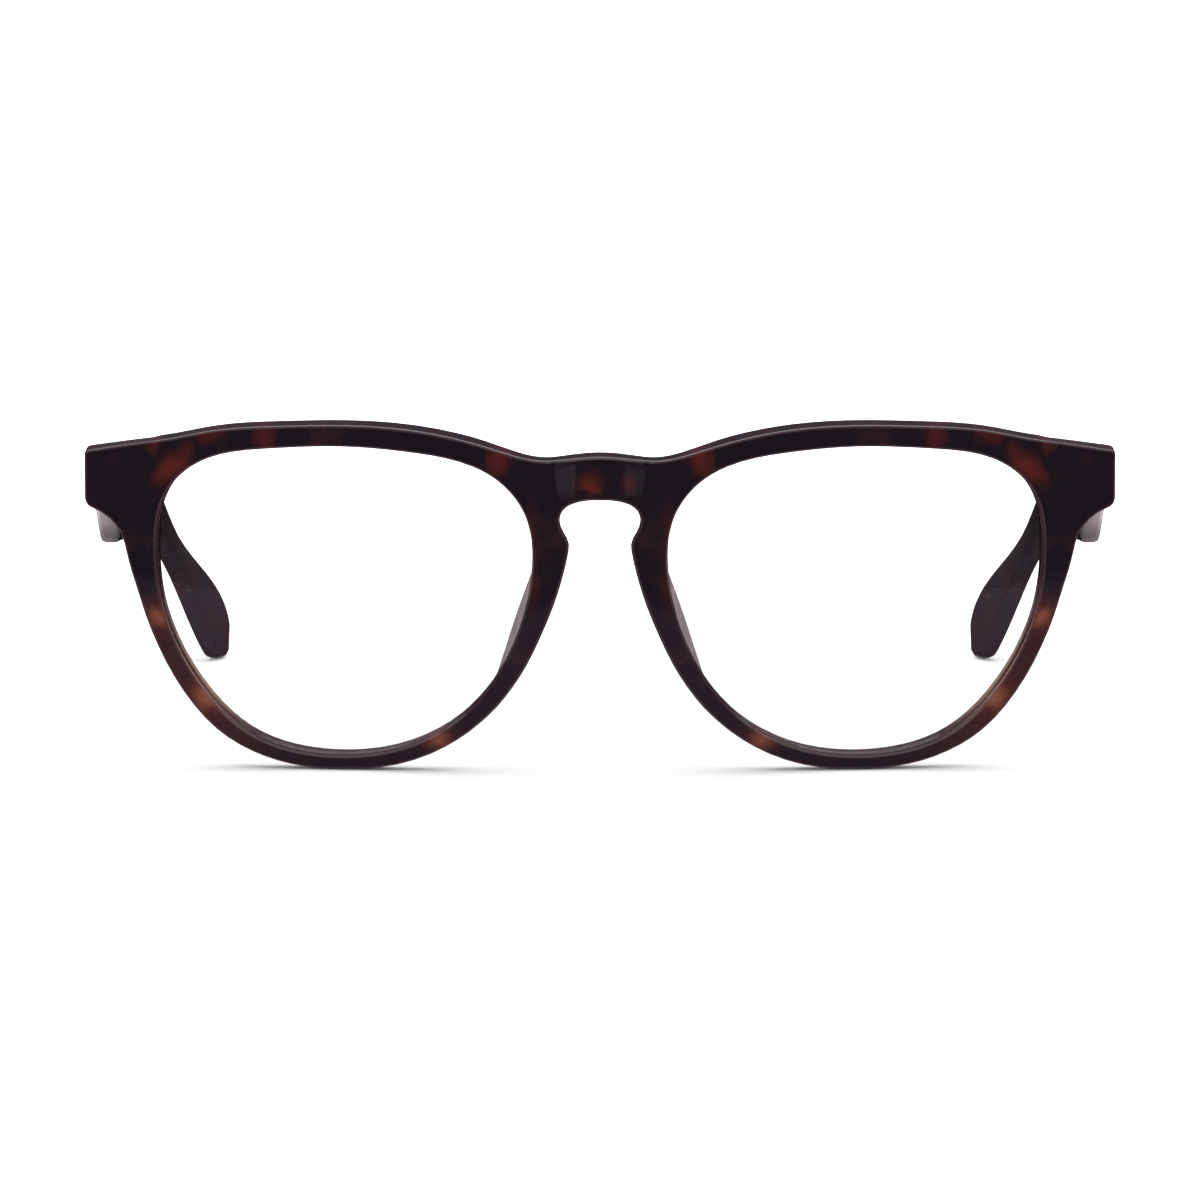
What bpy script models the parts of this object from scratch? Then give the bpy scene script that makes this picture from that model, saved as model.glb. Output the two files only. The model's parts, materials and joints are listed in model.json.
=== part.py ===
"""Acetate spectacles: a keyhole-bridge front, two clear lenses and two folding temples.

Units are metres and +Z is up. The wearer looks towards -Y, so the wearer's left is +X.
The glasses stand as when laid down open: on the two rim bottoms and the two temple tips.
The front is drawn flat, as u (out from the middle), v (up) and w (back from the front
face), and is then bent to its base curve.
"""

import math

import bmesh
import bpy
import numpy as np
from mathutils import Vector

# Lens opening, measured on the flat front
OPENING_WIDTH = 0.0524
OPENING_HEIGHT = 0.0442
BRIDGE_WIDTH = 0.0188

# Angle in degrees from the temple side, and radius as a share of the half width and half height
OPENING_RADIUS_SHARES = (
    (0, 0.981), (18, 1.052), (32, 1.139), (42, 1.166), (52, 1.145), (66, 1.060), (90, 0.999),
    (112, 1.040), (132, 1.131), (150, 1.116), (168, 1.017), (186, 0.949), (206, 0.926),
    (228, 0.953), (252, 0.987), (276, 1.005), (298, 1.012), (318, 0.969), (338, 0.949),
)

# Rim, as a width measured outwards from the opening; the angles run on past 360
RIM_WIDTH = 0.00296
LOWER_RIM_SHARES = (
    (171, 1.436), (178, 1.284), (189, 1.098), (201, 1.020), (214, 0.936), (226, 0.861),
    (240, 0.801), (255, 0.757), (270, 0.706), (286, 0.726), (297, 0.774), (309, 0.868),
    (319, 0.885), (343, 0.855), (354, 0.916), (360, 0.986), (366, 1.128), (372, 1.331),
    (378, 1.524),
)
BROW_RIM_SHARES = (
    (407, 1.503), (412, 1.236), (418, 1.108), (431, 1.027), (450, 1.000), (472, 1.034),
    (488, 1.071),
)

# Front stock and its edges
FRONT_THICKNESS = 0.0044
FRONT_EDGE_ROUND = 0.00035
BACK_EDGE_ROUND = 0.0005
BRIDGE_BACK_ROUND = 0.0015
OPENING_EDGE_ROUND = 0.0003
# The edge that bears on the nose is bevelled towards the back
NOSE_BEVEL = 0.0013
FACET_LENGTH = 0.0025
FINE_FACET_LENGTH = 0.0010

# Bend of the front: base curve, wrap of each half, and the round across the bridge
BASE_CURVE_RADIUS = 0.132
BASE_CURVE_RISE = 0.0022
WRAP_ANGLE = 6.0
WRAP_CENTRE = 0.0350
BRIDGE_BLEND = 0.0095
FRONT_LEAN = 6.9

# Keyhole bridge: the keyhole's top is placed above the middle of the lens opening
KEYHOLE_RISE = 0.01474
KEYHOLE_WIDTH = 0.01114
KEYHOLE_DEPTH = 0.00613
BRIDGE_HEIGHT = 0.00605
BRIDGE_FLAT_WIDTH = 0.0068
BRIDGE_FLANK_TOP_WIDTH = 0.0032
BRIDGE_FLANK_LOW_WIDTH = 0.0023
BRIDGE_PROUD = 0.0005
# The creases of the bridge run to an edge only where it is at least this level, in radians
CREASE_REACH = 0.55
# Rows across the face of a rim: edge rounds from the edge at a crease, and share of the width elsewhere
FLANK_ROW_SHARES = (2.4, 0.35)
CROWN_ROW_SHARES = (1.4, 0.7)
# The row on the back of a rim: edge rounds from the edge, and the least spread between the two edges
BACK_ROW_SHARES = (3, 0.42)

# Angle round the opening, half width share and depth share, from the keyhole's top to the nose point
KEYHOLE_SHARES = (
    (142, 0.0, 0.0), (144, 0.30, 0.006), (146.5, 0.60, 0.058), (149, 0.85, 0.175),
    (151.5, 0.975, 0.33), (153.5, 0.995, 0.50), (156, 0.92, 0.70), (158.5, 0.820, 0.86),
    (160.5, 0.770, 1.0), (163, 0.785, 1.19),
)
# Angle round the opening, share of half the bridge width and share of the bridge height
BRIDGE_TOP_SHARES = (
    (492.5, 1.245, 1.021), (494.5, 0.800, 0.899), (495.2, 0.660, 0.912), (496.3, 0.362, 0.965),
    (497.5, 0.0, 1.0),
)

# Endpieces, placed from the temple side and the middle of the lens opening
ENDPIECE_REACH = 0.0101
ENDPIECE_TOP_RISE = 0.01977
ENDPIECE_HEIGHT = 0.0075
ENDPIECE_TOP_ROUND = 0.0007
ENDPIECE_BOTTOM_ROUND = 0.0013
ENDPIECE_EDGE_THICKNESS = 0.0036
LUG_RAMP_START = -0.0006
LUG_RAMP_END = 0.0018
LUG_FADE = 0.003
# Share of the endpiece's extra depth by which its top falls towards the back
LUG_FALL_SHARE = 0.225
# Share of the wrap by which the endpiece's side is straightened towards the back
LUG_FLARE_SHARE = 0.8
# Share of the endpiece's height by which the hinge lies below its top
HINGE_DROP_SHARE = 0.84

# Angle round the opening, reach share and height share of points under and over the endpiece
UNDER_ENDPIECE_SHARES = ((381, 0.50, -0.45), (384, 0.645, -0.235), (386, 0.77, -0.125))
OVER_ENDPIECE_SHARES = ((399.5, 0.356, 1.192),)
CORNER_ANGLES_SHARES = (387, 389, 394, 397)

# Lenses and their groove
LENS_THICKNESS = 0.0020
LENS_SEAT_DEPTH = 0.0017
GROOVE_DEPTH = 0.0006
GROOVE_WIDTH = 0.0015
LENS_GAP = 0.00025
BEVEL_REACH = 0.00035
BEVEL_WIDTH = 0.0010
LENS_SIDES = 48
LENS_RING_SHARES = (0.82, 0.50)

# Glued nose pads
PAD_DEPTH = 0.0062
PAD_ROOT_THICKNESS = 0.0026
PAD_CREST_THICKNESS = 0.0016
PAD_INSET = 0.0017
PAD_GLUE_GAP = 0.0003
PAD_ANGLES_SHARES = (162.8, 223)
PAD_END_DEPTH_SHARE = 0.22
# Ends of the pad's straight rear edge: out from and up from the opening's nose side and bottom
PAD_CREST_TOP = (0.0005, 0.0267)
PAD_CREST_BOTTOM = (0.0067, 0.0065)
# Above 2 the ends of the pad are blunter than a round
PAD_END_FULLNESS = 2.4
PAD_SECTIONS = 11

# Temples, measured along their middle line from the butt
TEMPLE_LENGTH = 0.1418
TEMPLE_THICKNESS = 0.0034
TEMPLE_BEND_THICKNESS = 0.0028
TEMPLE_TIP_THICKNESS = 0.0032
TEMPLE_BUTT_HEIGHT = 0.0125
TEMPLE_SHAFT_HEIGHT = 0.0086
TEMPLE_BEND_HEIGHT = 0.0056
TEMPLE_TIP_HEIGHT = 0.0117
TEMPLE_TAPER_LENGTH = 0.036
TEMPLE_BEND_START = 0.0983
TEMPLE_TIP_START = 0.1135
TEMPLE_BEND_RADIUS = 0.0238
TEMPLE_DROP_ANGLE = 31.0
TEMPLE_HOOK_START = 0.1022
TEMPLE_HOOK_ARC = 0.012
TEMPLE_HOOK_ANGLE = 13.6
TEMPLE_TUCK = 0.0007
TEMPLE_EDGE_ROUND = 0.0009
TEMPLE_BUTT_ROUND = 0.0004
TEMPLE_SIDE_INSET = 0.0012
TEMPLE_STEPS = 30

# Barrel hinge
BARREL_RADIUS = 0.0015
BARREL_BORE_RADIUS = 0.0007
BARREL_COUNT = 5
BARREL_GAP = 0.0001
HINGE_HEIGHT = 0.0075
HINGE_SETBACK = 0.0036
HINGE_INSET = 0.0019
HINGE_RISE = 0.0010
ANCHOR_DEPTH = 0.0022
ANCHOR_HEIGHT = 0.0081
PLATE_THICKNESS = 0.0012
PLATE_LENGTH = 0.0155
PLATE_HEAD_HEIGHT = 0.0071
PLATE_TAIL_HEIGHT = 0.0046
PLATE_HEAD_LENGTH = 0.0050
INLAY_GAP = 0.0002
BUTT_GAP = 0.0002
ROUND_SIDES = 16

# Hinge screw
SCREW_RADIUS = 0.0006
SCREW_HEAD_RADIUS = 0.00115
SCREW_HEAD_HEIGHT = 0.0006
SCREW_SLOT_WIDTH = 0.0003
SCREW_SLOT_DEPTH = 0.0003
SCREW_TIP_LENGTH = 0.0003
SCREW_SEAT_GAP = 0.0001

# Steel core wire of a temple
CORE_RADIUS = 0.0006
CORE_GAP = 0.0003
CORE_START = 0.0008
CORE_END = 0.130
CORE_SIDES = 8
CORE_STEPS = 22

# How far a cutter runs past the face that it opens
OVERRUN = 0.0010
MERGE_DISTANCE = 0.00002

half_width = OPENING_WIDTH / 2
half_height = OPENING_HEIGHT / 2
centre_u = BRIDGE_WIDTH / 2 + half_width
centre_v = half_height + RIM_WIDTH * dict(LOWER_RIM_SHARES)[270]
keyhole_top_v = centre_v + KEYHOLE_RISE
bridge_top_v = keyhole_top_v + BRIDGE_HEIGHT
opening_side_u = centre_u + half_width
endpiece_u = opening_side_u + ENDPIECE_REACH
endpiece_top_v = centre_v + ENDPIECE_TOP_RISE
endpiece_bottom_v = endpiece_top_v - ENDPIECE_HEIGHT
wrap = math.radians(WRAP_ANGLE)
lean = math.radians(FRONT_LEAN)
drop = math.radians(TEMPLE_DROP_ANGLE)
hook_slope = math.tan(math.radians(TEMPLE_HOOK_ANGLE))
barrel_height = (HINGE_HEIGHT - (BARREL_COUNT - 1) * BARREL_GAP) / BARREL_COUNT


def clear_scene():
    """Remove every object that the scene holds."""
    for existing in list(bpy.data.objects):
        bpy.data.objects.remove(existing, do_unlink=True)


def make_material(name, colour, roughness, metallic=0.0, alpha=1.0):
    """Return a Principled material in one plain finish."""
    material = bpy.data.materials.new(name)
    material.use_nodes = True
    shader = material.node_tree.nodes["Principled BSDF"]
    shader.inputs["Base Color"].default_value = (*colour, 1.0)
    shader.inputs["Roughness"].default_value = roughness
    shader.inputs["Metallic"].default_value = metallic
    shader.inputs["Alpha"].default_value = alpha
    return material


def add_empty(name, parent=None, location=(0, 0, 0), tilt=0.0):
    """Add an empty that carries pieces, turned about X."""
    empty = bpy.data.objects.new(name, None)
    bpy.context.collection.objects.link(empty)
    empty.parent = parent
    empty.location = location
    empty.rotation_euler.x = tilt
    return empty


def add_piece(name, mesh, material, parent):
    """Link one named object that carries a mesh and a material."""
    piece = bpy.data.objects.new(name, mesh)
    bpy.context.collection.objects.link(piece)
    piece.parent = parent
    if material:
        piece.data.materials.append(material)
    return piece


def add_tool(name, mesh, parent):
    """Link a shape that only cuts or joins a piece."""
    tool = add_piece(name, mesh, None, parent)
    tool.hide_render = True
    tool.display_type = "WIRE"
    return tool


def add_boolean(piece, tool, operation):
    """Cut a piece with a tool, or join them."""
    boolean = piece.modifiers.new(tool.name, "BOOLEAN")
    boolean.operation = operation
    boolean.solver = "EXACT"
    boolean.object = tool


def finish_mesh(name, shape, side=1, crease_angle=35.0):
    """Turn a bmesh into a mesh, mirrored to the right-hand side where side is -1."""
    if side < 0:
        bmesh.ops.scale(shape, vec=(-1, 1, 1), verts=shape.verts)
    bmesh.ops.recalc_face_normals(shape, faces=shape.faces)
    mesh = bpy.data.meshes.new(name)
    shape.to_mesh(mesh)
    shape.free()
    mesh.shade_smooth()
    mesh.set_sharp_from_angle(angle=math.radians(crease_angle))
    return mesh


def smoothstep(value):
    """Ease from 0 to 1."""
    value = min(1.0, max(0.0, value))
    return value * value * (3 - 2 * value)


def spline(knots, values, period=None):
    """Return a cubic spline through values at the knots, closed where a period is given."""
    knots = np.array(knots, dtype=float)
    values = np.array(values, dtype=float)
    count = len(knots)
    steps = np.diff(knots)
    if period:
        steps = np.append(steps, knots[0] + period - knots[-1])
    matrix = np.zeros((count, count))
    right = np.zeros_like(values)
    for i in range(count):
        if not period and i in (0, count - 1):
            matrix[i, i] = 1
            continue
        before = (i - 1) % count
        after = (i + 1) % count
        matrix[i, before] += steps[before]
        matrix[i, i] += 2 * (steps[before] + steps[i])
        matrix[i, after] += steps[i]
        rise = (values[after] - values[i]) / steps[i]
        right[i] = 6 * (rise - (values[i] - values[before]) / steps[before])
    bends = np.linalg.solve(matrix, right)

    def read(position):
        if period:
            position = (position - knots[0]) % period + knots[0]
        i = int(np.clip(np.searchsorted(knots, position, side="right") - 1, 0, len(steps) - 1))
        after = (i + 1) % count
        step = steps[i]
        ahead = position - knots[i]
        back = step - ahead
        curve = (bends[i] * back ** 3 + bends[after] * ahead ** 3) / (6 * step)
        start = (values[i] / step - bends[i] * step / 6) * back
        end = (values[after] / step - bends[after] * step / 6) * ahead
        return curve + start + end

    return read


opening_radius = spline(
    [angle for angle, share in OPENING_RADIUS_SHARES],
    [share for angle, share in OPENING_RADIUS_SHARES],
    period=360,
)


def opening_point(angle):
    """Return the point of the lens opening at an angle from the temple side."""
    radius = opening_radius(angle)
    across = radius * half_width * math.cos(math.radians(angle))
    up = radius * half_height * math.sin(math.radians(angle))
    return Vector((centre_u + across, centre_v + up))


def opening_normal(angle):
    """Return the direction out of the lens opening, into the rim."""
    along = opening_point(angle + 0.5) - opening_point(angle - 0.5)
    return Vector((along.y, -along.x)).normalized()


def rim_point(angle, width):
    """Return the point at a rim's width outside the opening."""
    return opening_point(angle) + opening_normal(angle) * width


def base_curve(u, v):
    """Return how far back the front face lies at a point of the flat front."""
    across = abs(u)
    rise = (v - centre_v - BASE_CURVE_RISE) ** 2 / (2 * BASE_CURVE_RADIUS)

    def wing(at):
        return math.tan(wrap) * (at - WRAP_CENTRE) + (at - WRAP_CENTRE) ** 2 / (2 * BASE_CURVE_RADIUS)

    slope = math.tan(wrap) + (BRIDGE_BLEND - WRAP_CENTRE) / BASE_CURVE_RADIUS
    middle = wing(BRIDGE_BLEND) - slope * BRIDGE_BLEND / 2
    if across >= BRIDGE_BLEND:
        return wing(across) - middle + rise
    return slope * across ** 2 / (2 * BRIDGE_BLEND) + rise


def front_point(u, v, w):
    """Bend a point of the flat front to its place in the front's own frame."""
    turn = wrap * smoothstep(abs(u) / BRIDGE_BLEND)
    x = u - math.copysign(w * math.sin(turn), u)
    return Vector((x, base_curve(u, v) + w * math.cos(turn), v))


def fillet(before, corner, after, radius, angles):
    """Round a corner of the outline with an arc, and give each point its angle."""
    towards_before = (before - corner).normalized()
    towards_after = (after - corner).normalized()
    half = towards_before.angle(towards_after) / 2
    middle = corner + (towards_before + towards_after).normalized() * radius / math.sin(half)
    start = corner + towards_before * radius / math.tan(half) - middle
    sweep = math.pi - 2 * half
    steps = 4
    turn = math.copysign(sweep / steps, start.cross(towards_after))
    points = []
    for i in range(steps + 1):
        c = math.cos(turn * i)
        s = math.sin(turn * i)
        arm = Vector((c * start.x - s * start.y, s * start.x + c * start.y))
        points.append((angles[0] + (angles[1] - angles[0]) * i / steps, middle + arm))
    return points


def follow(keys):
    """Run a smooth curve through (angle, point) keys, with a station every facet length."""
    fine = [point for _, point in keyhole_keys() + bridge_top_keys() + endpiece_shoulder_keys()]
    lengths = [0.0]
    for (_, start), (_, end) in zip(keys, keys[1:]):
        lengths.append(lengths[-1] + (end - start).length)
    place = spline(lengths, [tuple(point) for _, point in keys])
    stations = []
    for i in range(len(keys) - 1):
        facet = FINE_FACET_LENGTH if keys[i][1] in fine else FACET_LENGTH
        steps = max(1, math.ceil((lengths[i + 1] - lengths[i]) / facet))
        for k in range(steps):
            share = k / steps
            at = lengths[i] + (lengths[i + 1] - lengths[i]) * share
            angle = keys[i][0] + (keys[i + 1][0] - keys[i][0]) * share
            stations.append((angle, Vector(place(at))))
    stations.append((keys[-1][0], keys[-1][1]))
    return stations


def keyhole_keys():
    """Return the keyhole's outline from its top at the middle down past the nose point."""
    keys = []
    for angle, across, down in KEYHOLE_SHARES:
        point = Vector((across * KEYHOLE_WIDTH / 2, keyhole_top_v - down * KEYHOLE_DEPTH))
        keys.append((angle, point))
    return keys


def bridge_top_keys():
    """Return the outline over the bridge, from its shoulder to its middle."""
    keys = []
    for angle, across, up in BRIDGE_TOP_SHARES:
        point = Vector((across * BRIDGE_WIDTH / 2, keyhole_top_v + up * BRIDGE_HEIGHT))
        keys.append((angle, point))
    return keys


def endpiece_point(across, up):
    """Return a point near the endpiece from shares of its reach and height."""
    u = opening_side_u + across * ENDPIECE_REACH
    return Vector((u, endpiece_bottom_v + up * ENDPIECE_HEIGHT))


def endpiece_shoulder_keys():
    """Return the outline's points over the endpiece."""
    return [(angle, endpiece_point(across, up)) for angle, across, up in OVER_ENDPIECE_SHARES]


def lower_outline():
    """Return the stations from the keyhole's top round the rim to under the endpiece."""
    keys = keyhole_keys()
    for angle, share in LOWER_RIM_SHARES:
        keys.append((angle, rim_point(angle, share * RIM_WIDTH)))
    for angle, across, up in UNDER_ENDPIECE_SHARES:
        keys.append((angle, endpiece_point(across, up)))
    return keys


def brow_outline():
    """Return the keys from over the endpiece along the brow to the middle of the bridge."""
    keys = endpiece_shoulder_keys()
    for angle, share in BROW_RIM_SHARES:
        keys.append((angle, rim_point(angle, share * RIM_WIDTH)))
    return keys + bridge_top_keys()


def mirrored_lead(keys):
    """Return the keys that mirror the given ones across the middle."""
    return [(angle, Vector((-point.x, point.y))) for angle, point in keys]


def outline_stations():
    """Return every station of the outer outline as (angle, point, outward direction)."""
    lower = lower_outline()
    brow = brow_outline()
    bottom_corner = endpiece_point(1, 0)
    top_corner = endpiece_point(1, 1)
    under, side_low, side_high, over = CORNER_ANGLES_SHARES
    bottom_arc = fillet(lower[-1][1], bottom_corner, top_corner, ENDPIECE_BOTTOM_ROUND, (under, side_low))
    top_arc = fillet(bottom_corner, top_corner, brow[0][1], ENDPIECE_TOP_ROUND, (side_high, over))

    lead = mirrored_lead(lower[1:3])[::-1]
    lower_run = [s for s in follow(lead + lower + bottom_arc[:1]) if s[1].x > -MERGE_DISTANCE]
    tail = mirrored_lead(brow[-3:-1])[::-1]
    brow_run = [s for s in follow(top_arc[-1:] + brow + tail) if s[1].x > -MERGE_DISTANCE]

    run = lower_run[:-1] + bottom_arc
    for share in (1 / 3, 2 / 3):
        angle = side_low + (side_high - side_low) * share
        run.append((angle, bottom_arc[-1][1].lerp(top_arc[0][1], share)))
    run += top_arc + brow_run[1:]
    points = [point for _, point in run]
    stations = []
    for i, (angle, point) in enumerate(run):
        if i == 0:
            outward = Vector((0, -1))
        elif i == len(run) - 1:
            outward = Vector((0, 1))
        else:
            along = (points[i + 1] - point).normalized() + (point - points[i - 1]).normalized()
            outward = Vector((along.y, -along.x)).normalized()
        stations.append((angle, point, outward))
    return stations


def flank_width(v):
    """Return the width of a sloping flank of the bridge, which narrows downwards."""
    rise = (v - keyhole_top_v) / BRIDGE_HEIGHT
    return BRIDGE_FLANK_LOW_WIDTH + (BRIDGE_FLANK_TOP_WIDTH - BRIDGE_FLANK_LOW_WIDTH) * rise


def flank_line(v):
    """Return how far out the flank of the bridge ends at a height."""
    return BRIDGE_FLAT_WIDTH / 2 + flank_width(v)


def bridge_step(u, v):
    """Return how far the face of the bridge stands proud of the rims at a point."""
    reach = flank_width(v)
    across = min(1.0, max(0.0, (BRIDGE_FLAT_WIDTH / 2 + reach - abs(u)) / reach))
    shoulder_v = keyhole_top_v - KEYHOLE_DEPTH / 2
    return BRIDGE_PROUD * across * smoothstep((v - shoulder_v) / (keyhole_top_v - shoulder_v))


def rear_edge(point, outward, depth):
    """Return where the outline's rear edge lies, from its front edge."""
    if point.x > centre_u:
        fall = (depth - FRONT_THICKNESS) * LUG_FALL_SHARE * max(0.0, outward.y)
        past_middle = (point.x - opening_side_u) / ENDPIECE_REACH * 2 - 1
        flare = depth * math.sin(wrap) * LUG_FLARE_SHARE * smoothstep(past_middle) * max(0.0, outward.x)
        return point + Vector((flare, -fall))
    below = smoothstep((keyhole_top_v - point.y) / (KEYHOLE_DEPTH / 2))
    above = smoothstep((point.y - centre_v / 2) / (centre_v / 2))
    beside = 1 - smoothstep((point.x - BRIDGE_WIDTH / 2) / (BRIDGE_WIDTH / 2))
    return point - outward * NOSE_BEVEL * below * above * beside


class Mitre:
    """The flat plane where an endpiece meets its temple, square to the temple."""

    def __init__(self, slope):
        self.tilt = lean + slope
        self.hinge_v = endpiece_top_v - ENDPIECE_HEIGHT * HINGE_DROP_SHARE
        edge = front_point(endpiece_u, self.hinge_v, ENDPIECE_EDGE_THICKNESS)
        self.edge_y = edge.y

    def depth(self, u, v):
        """Return the front's thickness at a point if its back lies on the plane."""
        turn = wrap * smoothstep(abs(u) / BRIDGE_BLEND)
        plane_y = self.edge_y + (v - self.hinge_v) * math.tan(self.tilt)
        return (plane_y - base_curve(u, v)) / math.cos(turn)

    def back(self, u, v):
        """Return the front's thickness, which ramps to the mitre behind the endpiece."""
        past = u - opening_side_u - LUG_RAMP_START
        outwards = smoothstep(past / (LUG_RAMP_END - LUG_RAMP_START))
        upwards = smoothstep((v - endpiece_bottom_v) / LUG_FADE + 2)
        plain = FRONT_THICKNESS
        return plain + outwards * upwards * (self.depth(u, v) - plain)


def front_section(angle, point, outward, mitre, on_middle=False):
    """Return the section of the front at a station, from the lens groove round to itself."""
    inner = opening_point(angle)
    away = opening_normal(angle)
    across = point - inner
    length = across.length
    direction = across / length

    def face(at, lift=0.0):
        return front_point(at.x, at.y, lift - bridge_step(at.x, at.y))

    def back(at, lift=0.0):
        return front_point(at.x, at.y, mitre.back(at.x, at.y) - lift)

    def crossing(target):
        """Return how far along the section it crosses a line up the front."""
        return (target - inner.x) / (point.x - inner.x)

    def bridge_row(line, margin, plain):
        """Place a row on a crease of the bridge, or between the edge and its plain place."""
        share = crossing(line(point.y))
        for _ in range(4):
            share = crossing(line(inner.y + across.y * share))
        if 0 < share < 1 and (on_middle or abs(outward.y) > math.sin(CREASE_REACH)):
            at = inner + across * share
            gap = (point - at).dot(outward)
            if gap < 3 * margin and not on_middle:
                at.y -= math.copysign(margin * (1 - gap / (3 * margin)), outward.y)
            return Vector((line(at.y), at.y))
        flank_u = flank_line(point.y)
        near = point - outward * margin
        return near.lerp(inner + across * plain, smoothstep((point.x - flank_u) / flank_u))

    edge = FRONT_EDGE_ROUND
    rear = BACK_EDGE_ROUND
    groove = LENS_SEAT_DEPTH
    lip = GROOVE_WIDTH / 2
    flank_rounds, flank_share = FLANK_ROW_SHARES
    crown_rounds, crown_share = CROWN_ROW_SHARES
    back_rounds, least_spread = BACK_ROW_SHARES
    first = bridge_row(flank_line, flank_rounds * edge, flank_share)
    second = bridge_row(lambda v: BRIDGE_FLAT_WIDTH / 2, crown_rounds * edge, crown_share)
    lug_u = opening_side_u + LUG_RAMP_END
    ramp = 1 - back_rounds * rear / (length * max(least_spread, direction.dot(outward)))
    if 0 < crossing(lug_u) < 1:
        ramp = min(ramp, crossing(lug_u))
    else:
        ramp += (0.5 - ramp) * smoothstep((lug_u - point.x) / LUG_FADE)

    section = [
        front_point(*(inner + away * GROOVE_DEPTH), groove),
        front_point(*inner, groove - lip),
        front_point(*inner, OPENING_EDGE_ROUND),
        face(inner + away * OPENING_EDGE_ROUND),
        face(first),
        face(second),
    ]
    if on_middle:
        section += [face(point), None, None, None, back(point)]
    else:
        near_bridge = 1 - smoothstep((point.x - BRIDGE_WIDTH / 2) / (BRIDGE_WIDTH / 2))
        if point.y > bridge_top_v - BRIDGE_HEIGHT / 3:
            rear += (BRIDGE_BACK_ROUND - BACK_EDGE_ROUND) * near_bridge
        slack = edge * (1 - math.sqrt(0.5))
        low = rear_edge(point, outward, mitre.back(point.x, point.y))
        section += [
            face(point - outward * edge),
            face(point - outward * slack, slack),
            face(point, edge),
            back(low, rear),
            back(low - outward * rear),
        ]
    section += [
        back(inner + across * ramp),
        back(inner + away * BACK_EDGE_ROUND),
        back(inner, BACK_EDGE_ROUND),
        front_point(*inner, groove + lip),
    ]
    return section


def middle_stations(stations):
    """Return the stations down the middle of the bridge, between its top and the keyhole."""
    top_angle, top, _ = stations[-1]
    low_angle, low, _ = stations[0]
    low_angle += 360
    middle = []
    steps = 4
    for i in range(1, steps):
        share = i / steps
        angle = top_angle + (low_angle - top_angle) * share
        middle.append((angle, top.lerp(low, share), Vector((0, 1))))
    return middle


def front_half_mesh(stations, mitre):
    """Join the sections of one half of the front; its mirror image meets it at the middle."""
    sections = [front_section(*station, mitre) for station in stations]
    for station in middle_stations(stations):
        sections.append(front_section(*station, mitre, on_middle=True))
    shape = bmesh.new()
    grid = [[shape.verts.new(p) if p else None for p in section] for section in sections]
    rows = len(sections[0])
    for i, ring in enumerate(grid):
        following = grid[(i + 1) % len(grid)]
        for row in range(rows):
            onward = (row + 1) % rows
            corners = (ring[row], ring[onward], following[onward], following[row])
            if all(corners):
                shape.faces.new(corners)
    for vertex in shape.verts:
        if abs(vertex.co.x) < MERGE_DISTANCE:
            vertex.co.x = 0.0
    return finish_mesh("front_frame", shape)


def loft(shape, sections):
    """Join closed sections in a row and close both ends."""
    rings = [[shape.verts.new(point) for point in section] for section in sections]
    count = len(rings[0])
    for start, end in zip(rings, rings[1:]):
        for i in range(count):
            j = (i + 1) % count
            shape.faces.new((start[i], start[j], end[j], end[i]))
    shape.faces.new(rings[0])
    shape.faces.new(rings[-1][::-1])
    return rings


def lens_mesh(name, side):
    """Build a curved lens whose bevelled edge lies in the rim's groove."""
    half = LENS_THICKNESS / 2
    bevel = BEVEL_WIDTH / 2
    seat = LENS_SEAT_DEPTH
    edge_rows = (
        (-LENS_GAP, seat - half), (-LENS_GAP, seat - bevel), (BEVEL_REACH, seat),
        (-LENS_GAP, seat + bevel), (-LENS_GAP, seat + half),
    )
    middle = Vector((centre_u, centre_v))
    angles = [360 * i / LENS_SIDES for i in range(LENS_SIDES)]
    rings = []
    for share in reversed(LENS_RING_SHARES):
        rings.append([(middle.lerp(opening_point(a), share), seat - half) for a in angles])
    for reach, depth in edge_rows:
        rings.append([(rim_point(a, reach), depth) for a in angles])
    for share in LENS_RING_SHARES:
        rings.append([(middle.lerp(opening_point(a), share), seat + half) for a in angles])
    shape = bmesh.new()
    grid = [[shape.verts.new(front_point(*point, depth)) for point, depth in ring] for ring in rings]
    for start, end in zip(grid, grid[1:]):
        for i in range(LENS_SIDES):
            j = (i + 1) % LENS_SIDES
            shape.faces.new((start[i], start[j], end[j], end[i]))
    for ring, depth in ((grid[0], seat - half), (grid[-1], seat + half)):
        pole = shape.verts.new(front_point(*middle, depth))
        for i in range(LENS_SIDES):
            shape.faces.new((pole, ring[i], ring[(i + 1) % LENS_SIDES]))
    return finish_mesh(name, shape, side)


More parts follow.
